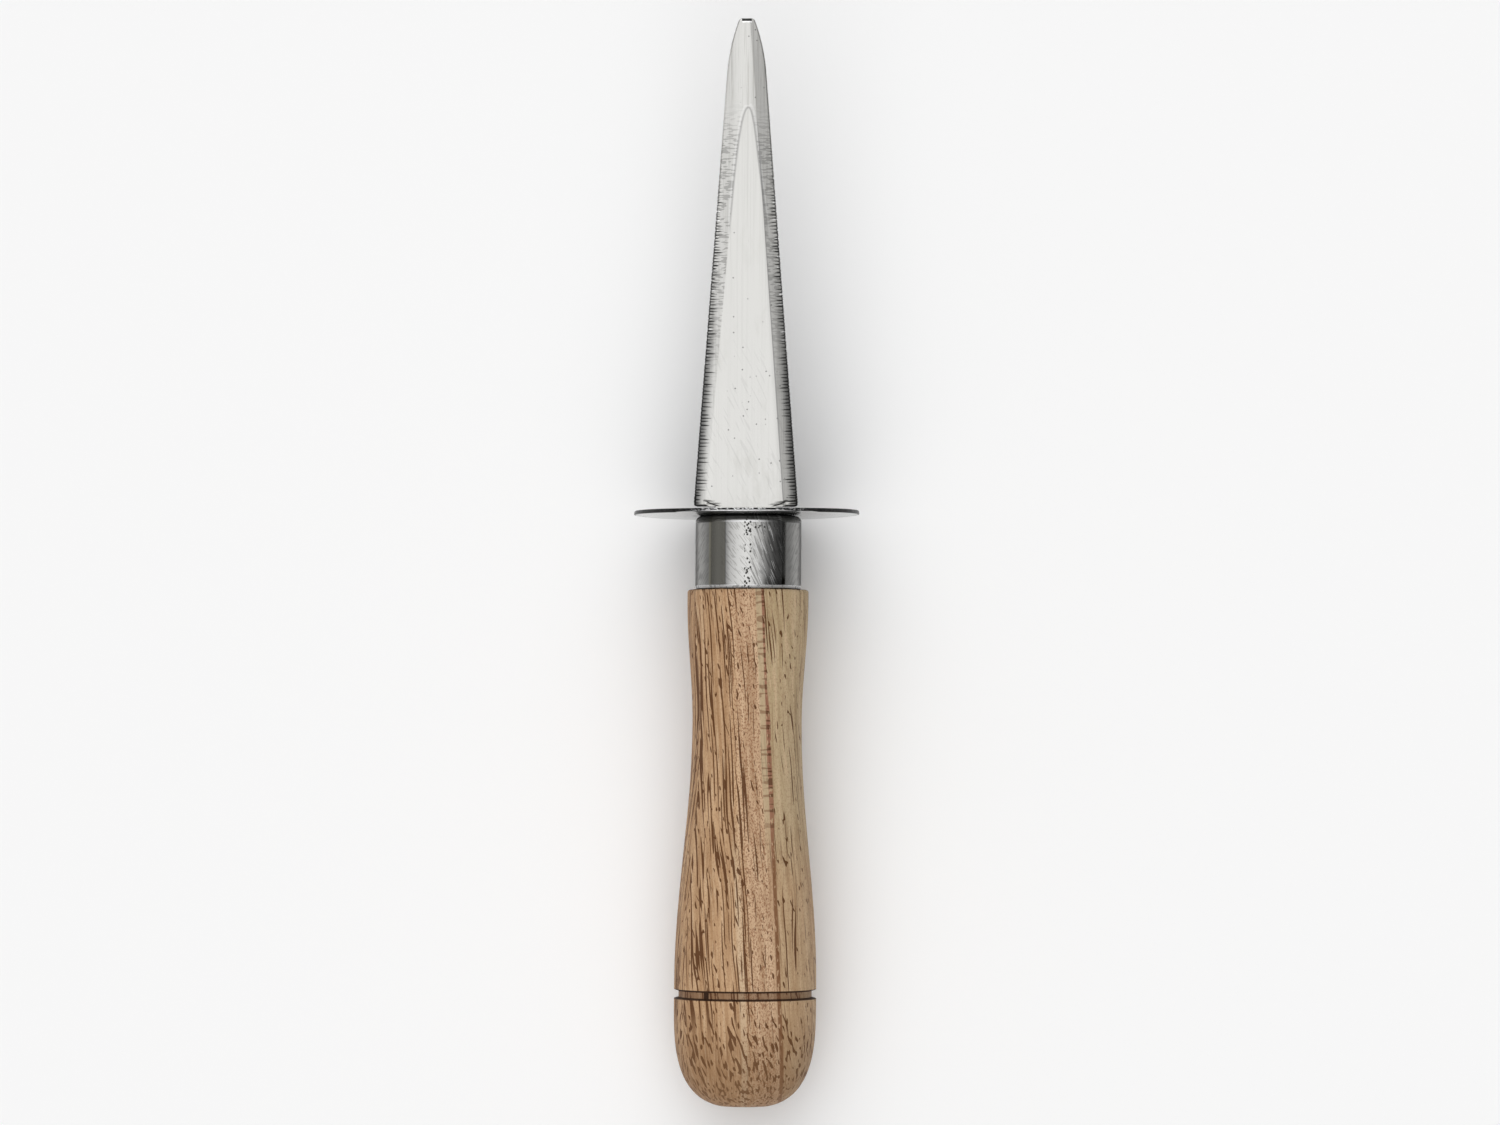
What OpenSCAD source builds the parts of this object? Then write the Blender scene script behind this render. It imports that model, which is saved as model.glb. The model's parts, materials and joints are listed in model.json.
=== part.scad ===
// Oyster knife: a bevelled steel blade with its tang, a round hand guard, a drawn ferrule
// and a turned wooden handle, lying as it rests on a table, on its guard and its butt.
// Each piece is modelled on the knife's own axis, with x = 0 where the ferrule meets the
// handle's shoulder, +X towards the tip and +Z out of the blade's upper face.
// laid() then tips the knife onto the table, z = 0, with the origin under its middle.

/* [Blade] */
// Length from the shoulder to the tip
blade_len = 87; // [60:0.1:120]
// Width at the shoulder
blade_base_w = 18.6; // [15:0.1:24]
// Thickness of the blade between its flats
blade_t = 2.2; // [1.8:0.1:3.2]
// Width where the rounded nose starts
nose_w = 7; // [5.5:0.1:9]
// Length of the rounded nose
nose_len = 9.7; // [7:0.1:14]
// Width that the nose has come down to at the tip
tip_w = 2.6; // [1.8:0.1:3.6]
// Radius of the tip's two corners
tip_round = 0.7; // [0.2:0.05:0.8]
// Radius of the shoulder's two corners
shoulder_round = 0.6; // [0.2:0.1:1.5]
// Width of the bevel along each side
bevel_w = 2.5; // [1.5:0.1:2.6]
// Thickness left at the blunt edges
edge_t = 1.1; // [0.6:0.1:1.5]
// Length of the crowned grind, from the end of the flat to the tip
crown_len = 16; // [10:0.5:24]
// Depth that the crowned grind takes off each face at the tip
crown_drop = 0.28; // [0.15:0.01:0.4]
// Radius of the crowned grind across the blade
crown_r = 12.3; // [8:0.1:20]
// How much flatter the crowned grind's flanks are than the bevels, in degrees
flank_ease = 0.5; // [0.2:0.1:3]

/* [Neck and tang] */
// Length of the neck between the blade's shoulder and the guard
neck_len = 1; // [0.5:0.1:3]
// Width of the seat that the neck has on the guard at each side of the tang
neck_step = 1.8; // [0.8:0.1:3]
// Length of the tang below the neck
tang_len = 62; // [40:1:80]
// How far each face of the neck and the tang lies below the blade's flat
tang_relief = 0.1; // [0.05:0.05:0.4]
// Width of the tang under the neck
tang_w = 7; // [5:0.1:9]
// Width of the tang at its end
tang_end_w = 5; // [3:0.1:5]

/* [Guard] */
// Diameter of the hand guard
guard_d = 40; // [34:0.5:50]
// Thickness of the guard's plate
guard_t = 0.7; // [0.5:0.1:1.5]

/* [Ferrule] */
// Outer diameter of the ferrule
ferrule_d = 18.8; // [17:0.1:20]
// Length from the ferrule's mouth to its closed top
ferrule_len = 13.1; // [8:0.1:20]
// Wall of the ferrule, at its side and at its top
ferrule_wall = 0.8; // [0.5:0.1:1.2]
// Outer radius of the ferrule's shoulder
ferrule_round = 1.1; // [0.8:0.1:2]
// Chamfer around the ferrule's mouth
mouth_chamfer = 0.25; // [0.1:0.05:0.4]

/* [Handle] */
// Length of the handle from its shoulder to its butt
handle_len = 91.3; // [70:0.1:120]
// Diameter at the shoulder
top_d = 21.5; // [20.5:0.1:24]
// Radius of the shoulder's edge
top_round = 0.5; // [0.2:0.1:0.5]
// Length of the straight land below the shoulder
top_land = 2; // [1:0.1:4]
// Diameter at the waist
waist_d = 19.4; // [17:0.1:21]
// Distance of the waist from the shoulder
waist_at = 23.5; // [15:0.5:30]
// Greatest diameter, near the butt
butt_d = 25.2; // [22:0.1:30]
// Length of the straight land before the rounded butt
butt_land = 3.3; // [0.5:0.1:8]
// Length of the rounded butt
dome_len = 18; // [8:0.5:20]
// How square the rounded butt is: 2 is an ellipse, and more is squarer
dome_power = 2.9; // [2:0.1:4]
// Diameter of the flat sanded on the butt's end
butt_flat_d = 9; // [4:0.5:12]
// Distance of the turned groove from the butt's end
groove_from_butt = 20.4; // [18:0.1:26]
// Width of the groove at its mouth
groove_w = 1.4; // [0.8:0.1:2]
// Width of the groove's floor
groove_floor_w = 0.5; // [0.3:0.1:0.7]
// Depth of the groove
groove_depth = 0.8; // [0.3:0.1:1.5]

/* [Fits] */
// Clearance around the tang in the slots of the guard and the ferrule
slot_clear = 0.1; // [0.05:0.01:0.2]
// Clearance between the tenon and the ferrule's wall
tenon_clear = 0.05; // [0.02:0.01:0.2]
// Clearance between the tang's corners and the wall of its bore
bore_clear = 0.15; // [0.1:0.05:0.5]
// Depth of the bore past the tang's end
bore_extra = 1.5; // [0.5:0.1:4]
// Clearance between the cured resin and the wall of the bore
resin_clear = 0.02; // [0.01:0.01:0.1]

/* [Hidden] */
$fn = 96;
// Steps along each curve of an outline
grip_steps = 16;
dome_steps = 18;
corner_steps = 6;
nose_steps = 10;
// How far a cut runs past the surface that it opens
past = 1;

// Half sizes and places along the axis
guard_r = guard_d / 2;
ferrule_r = ferrule_d / 2;
top_r = top_d / 2;
waist_r = waist_d / 2;
butt_r = butt_d / 2;
butt_flat_r = butt_flat_d / 2;
base_half = blade_base_w / 2;
nose_half = nose_w / 2;
tip_half = tip_w / 2;
guard_x = ferrule_len;
neck_x = guard_x + guard_t;
shoulder_x = neck_x + neck_len;
tip_x = shoulder_x + blade_len;
nose_x = tip_x - nose_len;
crown_x = tip_x - crown_len;
tang_end_x = neck_x - tang_len;
bore_end_x = tang_end_x - bore_extra;
tenon_x = ferrule_len - ferrule_wall;
tenon_r = ferrule_r - ferrule_wall - tenon_clear;
tang_t = blade_t - 2 * tang_relief;
bore_r = norm([tang_w, tang_t]) / 2 + bore_clear;
groove_x = groove_from_butt - handle_len;
swell_at = handle_len - dome_len - butt_land;

// The side's taper, and the arc that leaves it at the nose and ends at the tip
taper = atan((base_half - nose_half) / (blade_len - nose_len));
nose_chord = [nose_len, tip_half - nose_half];
nose_fall = nose_chord * [sin(taper), cos(taper)];
nose_r = (nose_chord * nose_chord) / (-2 * nose_fall);
nose_center = [nose_x, nose_half] - nose_r * [sin(taper), cos(taper)];
function arc_point(center, radius, turn) = center + radius * [sin(turn), cos(turn)];
function arc(center, radius, from, to, steps, first = 0) =
    [for (i = [first:steps]) arc_point(center, radius, from + (to - from) * i / steps)];

// The shoulder's corner is tangent to the taper, and the tip's corner to the nose's arc
shoulder_center = [shoulder_x + shoulder_round,
                   base_half - shoulder_round * (tan(taper) + 1 / cos(taper))];
tip_turn = asin((tip_x - tip_round - nose_center.x) / (nose_r - tip_round));
tip_center = arc_point(nose_center, nose_r - tip_round, tip_turn);

// One side of the blade's outline, from the shoulder's corner to the tip's flat end
blade_side = concat(
    arc(shoulder_center, shoulder_round, -90, taper, corner_steps),
    arc(nose_center, nose_r, taper, tip_turn, nose_steps),
    arc(tip_center, tip_round, tip_turn, 90, corner_steps, 1));
function mirrored(points) = [for (i = [len(points) - 1:-1:0]) [points[i].x, -points[i].y]];

// The handle's outline as [radius, distance below the shoulder]
function swing(from, to, part) = from + (to - from) * (1 - cos(180 * part)) / 2;
dome_turn = acos(pow(butt_flat_r / butt_r, dome_power / 2));
dome_full = dome_len / pow(sin(dome_turn), 2 / dome_power);
function dome_point(turn) = [
    butt_r * pow(cos(turn), 2 / dome_power),
    handle_len - dome_len + dome_full * pow(sin(turn), 2 / dome_power)];
grip_outline = concat(
    [for (i = [0:corner_steps])
        [top_r - top_round, top_round]
        + top_round * [sin(90 * i / corner_steps), -cos(90 * i / corner_steps)]],
    [for (i = [0:grip_steps])
        [swing(top_r, waist_r, i / grip_steps),
         top_land + (waist_at - top_land) * i / grip_steps]],
    [for (i = [1:grip_steps])
        [swing(waist_r, butt_r, i / grip_steps),
         waist_at + (swell_at - waist_at) * i / grip_steps]],
    [for (i = [0:dome_steps]) dome_point(dome_turn * i / dome_steps)]);

// The table touches the guard's lower rim and the ring of the butt that sticks out most
rest_tilt = atan(min([for (p = grip_outline) (guard_r - p[0]) / (guard_x + p[1])]));
rest_z = guard_r * cos(rest_tilt) - guard_x * sin(rest_tilt);
low_x = min([for (p = grip_outline) -p[1] * cos(rest_tilt) - p[0] * sin(rest_tilt)]);
high_x = tip_x * cos(rest_tilt) + (blade_t / 2 - crown_drop) * sin(rest_tilt);
middle_x = (low_x + high_x) / 2;

// Lays a piece on the table with the rest of the knife
module laid() {
    translate([-middle_x, 0, rest_z]) rotate([0, -rest_tilt, 0]) children();
}

// Turns a flat outline of radius and distance along the axis into a solid about the axis
module turned() {
    rotate([0, 90, 0]) rotate_extrude() children();
}

// A round bar along the axis from one place to another
module round_bar(radius, from, to) {
    translate([from, 0, 0]) rotate([0, 90, 0]) cylinder(r = radius, h = to - from);
}

// The blade's outline at full thickness
module blade_blank() {
    translate([0, 0, -blade_t / 2])
        linear_extrude(blade_t) polygon(concat(blade_side, mirrored(blade_side)));
}

// What the bevels of one side leave: a slab that thins towards the edge, and goes on past it
module bevel_bound() {
    inner = -2 * blade_base_w;
    outer = edge_t / 2;
    outer_half = edge_t / 2 - outer * (blade_t - edge_t) / (2 * bevel_w);
    translate([shoulder_x, base_half, 0]) rotate([0, 0, -taper])
        translate([-2 * past, 0, 0]) rotate([90, 0, 90])
            linear_extrude(blade_len + 4 * past) polygon([
                [inner, -blade_t / 2], [-bevel_w, -blade_t / 2], [outer, -outer_half],
                [outer, outer_half], [-bevel_w, blade_t / 2], [inner, blade_t / 2]]);
}

// What the crowned grind of the upper face leaves: a round back with straight flanks that
// dips to the tip
module crown_bound() {
    dip = atan(crown_drop / crown_len);
    flank = atan((blade_t - edge_t) / (2 * bevel_w)) - flank_ease;
    crest = crown_r * [sin(flank), cos(flank) - 1];
    foot = [blade_base_w, crest.y - (blade_base_w - crest.x) * tan(flank)];
    deep = -3 * blade_t;
    translate([crown_x, 0, blade_t / 2]) rotate([0, dip, 0])
        translate([-blade_len, 0, 0]) rotate([90, 0, 90])
            linear_extrude(blade_len + crown_len + past) {
                translate([0, -crown_r]) circle(crown_r);
                polygon([
                    [-foot.x, foot.y], [-crest.x, crest.y], crest, foot,
                    [foot.x, foot.y + deep], [-foot.x, foot.y + deep]]);
            }
}

// The flat bar behind the blade: the neck that seats on the guard, and the tapered tang
module tang_bar(extra) {
    neck_half = tang_w / 2 + neck_step;
    translate([0, 0, -tang_t / 2]) linear_extrude(tang_t) {
        polygon([
            [neck_x + extra, tang_w / 2], [tang_end_x, tang_end_w / 2],
            [tang_end_x, -tang_end_w / 2], [neck_x + extra, -tang_w / 2]]);
        if (extra == 0)
            translate([neck_x, -neck_half]) square([neck_len, 2 * neck_half]);
    }
}

module blade() {
    color("silver") laid() {
        intersection() {
            blade_blank();
            bevel_bound();
            mirror([0, 1, 0]) bevel_bound();
            crown_bound();
            mirror([0, 0, 1]) crown_bound();
        }
        tang_bar(0);
    }
}

// The slot that the tang passes through
module tang_slot(from, to) {
    size = [to - from + 2 * past, tang_w + 2 * slot_clear, tang_t + 2 * slot_clear];
    translate([from - past, -size.y / 2, -size.z / 2]) cube(size);
}

module guard() {
    color("gainsboro") laid() difference() {
        round_bar(guard_r, guard_x, guard_x + guard_t);
        tang_slot(guard_x, guard_x + guard_t);
    }
}

// Half section of a cap with a rounded shoulder
module cap_section(radius, top, corner) {
    square([radius - corner, top]);
    square([radius, top - corner]);
    translate([radius - corner, top - corner]) circle(corner);
}

module ferrule() {
    inner_r = ferrule_r - ferrule_wall;
    inner_round = ferrule_round - ferrule_wall;
    color("darkgray") laid() difference() {
        turned() difference() {
            intersection() {
                cap_section(ferrule_r, ferrule_len, ferrule_round);
                polygon([
                    [0, 0], [ferrule_r - mouth_chamfer, 0], [ferrule_r, mouth_chamfer],
                    [ferrule_r, ferrule_len], [0, ferrule_len]]);
            }
            translate([0, -past]) cap_section(inner_r, tenon_x + past, inner_round);
        }
        tang_slot(tenon_x, ferrule_len);
    }
}

// The turned groove near the butt, a ring with sloping sides
module groove() {
    rim = butt_r + past;
    floor_r = butt_r - groove_depth;
    flare = (groove_w - groove_floor_w) / 2 * (1 + past / groove_depth);
    turned() translate([0, groove_x]) polygon([
        [floor_r, -groove_floor_w / 2], [rim, -groove_floor_w / 2 - flare],
        [rim, groove_floor_w / 2 + flare], [floor_r, groove_floor_w / 2]]);
}

module handle() {
    tenon_chamfer = max(ferrule_round - ferrule_wall, mouth_chamfer) + tenon_clear;
    section = concat(
        [[0, tenon_x], [tenon_r - tenon_chamfer, tenon_x], [tenon_r, tenon_x - tenon_chamfer],
         [tenon_r, 0]],
        [for (p = grip_outline) [p[0], -p[1]]],
        [[0, -handle_len]]);
    color("tan") laid() difference() {
        turned() polygon(section);
        groove();
        round_bar(bore_r, bore_end_x, tenon_x + past);
    }
}

module tang_resin() {
    color("peru") laid() difference() {
        round_bar(bore_r - resin_clear, bore_end_x, tenon_x);
        tang_bar(past);
    }
}

blade();
guard();
ferrule();
handle();
tang_resin();
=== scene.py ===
"""The looks of an oyster knife lying on a pale floor, seen from straight above.

Pieces are modelled in knife millimetres: x = 0 where the ferrule meets the handle's shoulder,
+x towards the tip, +z out of the blade's upper face, and +y to the left as the camera sees it.
"""

import json
import math

import bmesh
import bpy
import numpy as np
from mathutils import Matrix, Vector


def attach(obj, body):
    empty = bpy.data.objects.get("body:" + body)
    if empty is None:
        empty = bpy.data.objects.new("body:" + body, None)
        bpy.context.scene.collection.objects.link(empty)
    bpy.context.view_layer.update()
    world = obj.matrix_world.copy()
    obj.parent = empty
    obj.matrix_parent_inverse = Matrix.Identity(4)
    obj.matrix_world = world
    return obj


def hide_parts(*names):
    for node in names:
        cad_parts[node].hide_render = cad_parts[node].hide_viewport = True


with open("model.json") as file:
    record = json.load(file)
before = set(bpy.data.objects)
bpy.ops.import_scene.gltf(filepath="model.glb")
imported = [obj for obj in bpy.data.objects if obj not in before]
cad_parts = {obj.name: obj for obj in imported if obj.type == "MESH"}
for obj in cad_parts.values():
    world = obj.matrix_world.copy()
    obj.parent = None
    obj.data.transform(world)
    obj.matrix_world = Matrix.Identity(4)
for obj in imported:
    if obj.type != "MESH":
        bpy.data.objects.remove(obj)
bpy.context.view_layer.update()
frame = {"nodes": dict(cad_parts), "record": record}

MM = 0.001

# Sizes of the knife, the same as the solids'
BLADE_LEN = 87
BLADE_HALF = 9.3
BLADE_T = 2.2
NOSE_HALF = 3.5
NOSE_LEN = 9.7
TIP_HALF = 1.3
TIP_ROUND = 0.7
SHOULDER_ROUND = 0.6
EDGE_T = 1.1
BEVEL_W = 2.5
CROWN_LEN = 16
CROWN_DROP = 0.28
NECK_LEN = 1
NECK_HALF = 5.3
TANG_LEN = 62
TANG_T = 2
TANG_HALF = 3.5
TANG_END_HALF = 2.5
GUARD_R = 20
GUARD_T = 0.7
FERRULE_R = 9.4
FERRULE_LEN = 13.1
FERRULE_WALL = 0.8
FERRULE_ROUND = 1.1
HANDLE_LEN = 91.3
TOP_R = 10.75
TOP_ROUND = 0.5
TOP_LAND = 2
WAIST_R = 9.7
WAIST_AT = 23.5
BUTT_R = 12.6
SWELL_AT = 70
DOME_LEN = 18
DOME_POWER = 2.9
BUTT_FLAT_R = 4.5
GROOVE_FROM_BUTT = 20.4
GROOVE_DEPTH = 0.8
SLOT_CLEAR = 0.1
TENON_CLEAR = 0.05
BORE_R = 3.79
BORE_EXTRA = 1.5

# How the hand-made knife departs from the solids, in mm and mm per mm
BLADE_SHIFT = 0.16
GRIP_SHIFT = -0.27
GRIP_LEAN = -0.0052
GUARD_LEAN = 0.005
GUARD_BEND = 0.0006
GROOVE_SHIFT = -0.6
GROOVE_W = 1.6
GROOVE_FLOOR_W = 1.1

# How far inside its solid the handle is drawn
SKIN = 0.01

# Places along the axis
GUARD_X = FERRULE_LEN
NECK_X = GUARD_X + GUARD_T
SHOULDER_X = NECK_X + NECK_LEN
TIP_X = SHOULDER_X + BLADE_LEN
NOSE_X = TIP_X - NOSE_LEN
CROWN_X = TIP_X - CROWN_LEN
TANG_END_X = NECK_X - TANG_LEN
BORE_END_X = TANG_END_X - BORE_EXTRA
TENON_X = FERRULE_LEN - FERRULE_WALL
TENON_R = FERRULE_R - FERRULE_WALL - TENON_CLEAR
GROOVE_X = GROOVE_FROM_BUTT + GROOVE_SHIFT - HANDLE_LEN


def knife_matrix():
    """The knife's own axes in the row frame, from the mount on its butt."""
    butt = next(m for m in frame["record"]["mounts"] if m["name"] == "butt_flat")
    along = -Vector(butt["axis"])
    across = Vector((0, 1, 0))
    up = along.cross(across)
    origin = Vector(butt["pos_m"]) + along * HANDLE_LEN * MM
    return Matrix((
        (along.x, across.x, up.x, origin.x),
        (along.y, across.y, up.y, origin.y),
        (along.z, across.z, up.z, origin.z),
        (0, 0, 0, 1)))


KNIFE = knife_matrix()
TILT = math.atan2(KNIFE[2][0], KNIFE[0][0])


def in_row(x, y, z):
    """A point in knife millimetres as a point in the row frame."""
    return KNIFE @ (Vector((x, y, z)) * MM)


# Mesh helpers

WOBBLES = 4096


def ring(x, y, z):
    """A ring of points, each coordinate an array or one number."""
    return np.stack(np.broadcast_arrays(x, y, z), axis=-1).astype(float)


def loft(name, rings, closed=False):
    """A closed mesh through rings of equally many points; a ring of one point is a pole."""
    points = np.concatenate(rings)
    starts = np.cumsum([0] + [len(r) for r in rings])
    pairs = list(zip(range(len(rings) - 1), range(1, len(rings))))
    if closed:
        pairs.append((len(rings) - 1, 0))
    faces = []
    for a, b in pairs:
        count = max(len(rings[a]), len(rings[b]))
        near = np.arange(count)
        far = (near + 1) % count
        if len(rings[a]) == 1:
            faces += np.stack([starts[a] + 0 * near, starts[b] + far, starts[b] + near], 1).tolist()
        elif len(rings[b]) == 1:
            faces += np.stack([starts[a] + near, starts[a] + far, starts[b] + 0 * near], 1).tolist()
        else:
            faces += np.stack([starts[a] + near, starts[a] + far,
                               starts[b] + far, starts[b] + near], 1).tolist()
    matrix = np.array(KNIFE)
    placed = points @ matrix[:3, :3].T * MM + matrix[:3, 3]
    mesh = bpy.data.meshes.new(name)
    mesh.from_pydata(placed.tolist(), [], faces)
    mesh.validate()
    piece = bpy.data.objects.new(name, mesh)
    bpy.context.scene.collection.objects.link(piece)
    return piece


def outward(piece):
    """Turns every face outwards."""
    edit = bmesh.new()
    edit.from_mesh(piece.data)
    bmesh.ops.recalc_face_normals(edit, faces=edit.faces)
    edit.to_mesh(piece.data)
    edit.free()


def finish_piece(piece, node, material, sharp=35):
    """Shades a piece, gives it its material and lets it stand for its CAD node."""
    outward(piece)
    piece.data.shade_smooth()
    piece.data.set_sharp_from_angle(angle=math.radians(sharp))
    piece.data.materials.append(material)
    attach(piece, "root")
    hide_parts(node)
    return piece


def store(piece, name, values):
    """Keeps one number for each point of a piece, for its material."""
    attribute = piece.data.attributes.new(name, "FLOAT", "POINT")
    attribute.data.foreach_set("value", np.asarray(values, np.float32))


def smooth_step(value, low, high):
    """0 up to low, 1 from high on, and a soft rise between them."""
    part = np.clip((value - low) / (high - low), 0, 1)
    return part * part * (3 - 2 * part)


def wobble(places, pitch, seed):
    """Smooth random values from -1 to 1 along a line, a new one every pitch."""
    table = np.random.RandomState(seed).uniform(-1, 1, WOBBLES)
    steps = np.asarray(places, float) / pitch
    low = np.floor(steps).astype(int)
    part = smooth_step(steps - low, 0, 1)
    return table[low % WOBBLES] * (1 - part) + table[(low + 1) % WOBBLES] * part


# The blade: one loft from the tang's end to the tip

# The upper face: a flat that ends in an arch, a crowned grind left of it and a ridge right of it
DIP = CROWN_DROP / CROWN_LEN
BEVEL_SLOPE = (BLADE_T - EDGE_T) / 2 / BEVEL_W
ARCH_Y = -0.3
LEFT_R = 14
LEFT_FLANK = 0.207
RIGHT_R = 9.5
RIGHT_FLANK = 0.14
RIDGE_BASE = 6.65
RIDGE_TIP = 0.5
RIDGE_BOW = 0.05
CREASE_SHARP = 0.003
CREASE_SOFT = 0.03
CREASE_FADE = (54, 74)
EDGE_ROUND = 0.2
EDGE_CUT = 0.4
TIP_EDGE = 0.45
TIP_CUT = 0.6
SCALLOP_FROM = 4.7
SCALLOP_TO = 7.2
SCALLOP_RISE = 0.9
SCALLOP_DEPTH = 0.16
SCALLOP_SOFT = 0.3

# The mesh: rows that are finer at the tip, and three groups of columns, finer at the edges
ROW_PITCH = 0.11
TIP_ROWS = 14
TIP_ROWS_LEN = 0.8
TIP_CROWDING = 1.6
COLUMNS = 14
EDGE_CROWDING = 1.3

# Lines ground across the bevels: seed, pitch, reach, and the two places between which they fade
DARK_LEFT = (11, 0.6, 1.8, (56, 88))
DARK_RIGHT = (12, 0.58, 1.7, (66, 90))
# The glints are bright lines that the material paints as highlights; they also notch the edges
GLINTS_LEFT = (13, 1.5, 1.2, (62, 80))
GLINTS_RIGHT = (14, 1.5, 1.2, (66, 84))
GLINTS_START = (30, 50)

# The least and the most of what varies from line to line
LINE_WIDTH = (0.09, 0.15)
LINE_LENGTH = (0.5, 1.15)
LINE_SLANT = (-0.09, 0.03)
LINE_STRENGTH = (0.6, 1)
LINE_GAP = (0.78, 1.27)

# The lines get shorter by LENGTH_LOSS over LENGTH_OVER millimetres from the shoulder on
LENGTH_AT_SHOULDER = 1.25
LENGTH_LOSS = 0.5
LENGTH_OVER = 60
LINE_NEAR = 1

MARK_DEPTH = 0.05
NOTCH = 0.22
NOTCH_OF_MARK = 0.5
NOTCH_WITHIN = 0.25

# What the neck's and the tang's points tell the material
BAR_FIELDS = {"edge_mm": 5, "arch_mm": -5, "ridge_mm": -5, "scallop_mm": 5, "marks": 0, "glints": 0}


def half_width(x):
    """Half the blade's width: a straight taper, the nose's arc and two small corner arcs."""
    taper = math.atan((BLADE_HALF - NOSE_HALF) / (BLADE_LEN - NOSE_LEN))
    fall = NOSE_LEN * math.sin(taper) + (TIP_HALF - NOSE_HALF) * math.cos(taper)
    nose_r = (NOSE_LEN ** 2 + (TIP_HALF - NOSE_HALF) ** 2) / (-2 * fall)
    center_x = NOSE_X - nose_r * math.sin(taper)
    center_y = NOSE_HALF - nose_r * math.cos(taper)
    turn = math.asin((TIP_X - TIP_ROUND - center_x) / (nose_r - TIP_ROUND))
    corner_x = center_x + (nose_r - TIP_ROUND) * math.sin(turn)
    corner_y = center_y + (nose_r - TIP_ROUND) * math.cos(turn)
    corner_from = center_x + nose_r * math.sin(turn)
    shoulder_y = BLADE_HALF - SHOULDER_ROUND * (math.tan(taper) + 1 / math.cos(taper))
    straight = BLADE_HALF - math.tan(taper) * (x - SHOULDER_X)
    nose = center_y + np.sqrt(np.maximum(nose_r ** 2 - (x - center_x) ** 2, 0))
    corner = corner_y + np.sqrt(np.maximum(TIP_ROUND ** 2 - (x - corner_x) ** 2, 0))
    into = np.clip(SHOULDER_X + SHOULDER_ROUND - x, 0, SHOULDER_ROUND)
    shoulder = shoulder_y + np.sqrt(SHOULDER_ROUND ** 2 - into ** 2)
    width = np.where(x < NOSE_X, straight, np.where(x < corner_from, nose, corner))
    return np.where(x < SHOULDER_X + SHOULDER_ROUND, np.minimum(shoulder, straight), width)


def ridge_at(x):
    """How far right of the middle the sharp ridge runs."""
    part = (x - SHOULDER_X) / BLADE_LEN
    bow = 4 * RIDGE_BOW * part * (1 - part)
    return np.minimum(RIDGE_BASE + (RIDGE_TIP - RIDGE_BASE) * part + bow, 0.8 * half_width(x))


def flat_half(x):
    """Half the flat's width on its left: the arch's curve, then a straight line."""
    below = np.maximum(CROWN_X - x, 0)
    arch = np.sqrt(2 * LEFT_R * DIP * below)
    line = LEFT_FLANK * LEFT_R / 2 + DIP / LEFT_FLANK * below
    return np.where(arch < LEFT_FLANK * LEFT_R, arch, line)


def crown(x, y):
    """How far the crowned grind lies below the flat, negative where it would lie above."""
    across = y - ARCH_Y
    radius = np.where(across > 0, LEFT_R, RIGHT_R)
    flank = np.where(across > 0, LEFT_FLANK, RIGHT_FLANK)
    size = np.abs(across)
    side = np.where(size < flank * radius, size ** 2 / (2 * radius),
                    flank * (size - flank * radius / 2))
    return side + DIP * (x - CROWN_X)


def blade_rows():
    """The x of each row of points, from the shoulder to the tip."""
    even = np.arange(SHOULDER_X, TIP_X - TIP_ROWS_LEN, ROW_PITCH)
    to_tip = 1 - np.linspace(0, 1, TIP_ROWS)
    return np.append(even, TIP_X - TIP_ROWS_LEN * to_tip ** TIP_CROWDING)


def blade_columns(x):
    """The y of each column of points across the upper face, from the left edge to the right."""
    half = half_width(x)[:, None]
    ridge = ridge_at(x)[:, None]
    flat = np.minimum((ARCH_Y + np.maximum(flat_half(x), 0.35))[:, None], 0.75 * half)
    part = (np.arange(COLUMNS + 1) / COLUMNS)[None, :]
    left = half + (flat - half) * part[:, :-1] ** EDGE_CROWDING
    middle = flat + (-ridge - flat) * part[:, :-1]
    right = -ridge + (ridge - half) * (1 - (1 - part) ** EDGE_CROWDING)
    return np.concatenate([left, middle, right], axis=1)


def scallop(x, y):
    """Distance above the scalloped line that ends the flat near the shoulder."""
    part = np.clip((np.abs(y) - SCALLOP_FROM) / (SCALLOP_TO - SCALLOP_FROM), 0, 1)
    return x - SHOULDER_X - SCALLOP_RISE * part ** 1.4


def rounded(distance, reach, cut):
    """A factor for the height near an edge: 1 beyond the reach, less by the cut at the edge."""
    part = np.clip(distance / reach, 0, 1)
    return 1 - cut + cut * np.sqrt(1 - (1 - part) ** 2)


def blade_height(x, y):
    """The upper face's height over the blade's middle plane."""
    ridge = -ridge_at(x)
    blur = CREASE_SHARP + CREASE_SOFT * (1 - smooth_step(x, *CREASE_FADE))
    low = crown(x, np.maximum(y, ridge))
    fall = (low + np.sqrt(low ** 2 + blur ** 2)) / 2
    height = BLADE_T / 2 - fall - BEVEL_SLOPE * np.maximum(ridge - y, 0)
    corner = smooth_step(np.abs(y), SCALLOP_FROM + 0.1, SCALLOP_FROM + 1.1)
    corner *= 1 - smooth_step(np.abs(y), SCALLOP_TO, SCALLOP_TO + 0.5)
    height -= SCALLOP_DEPTH * corner * (1 - smooth_step(scallop(x, y), 0, SCALLOP_SOFT))
    at_edge = rounded(half_width(x) - np.abs(y), EDGE_ROUND, EDGE_CUT)
    return height * at_edge * rounded(TIP_X - x, TIP_EDGE, TIP_CUT)


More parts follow.
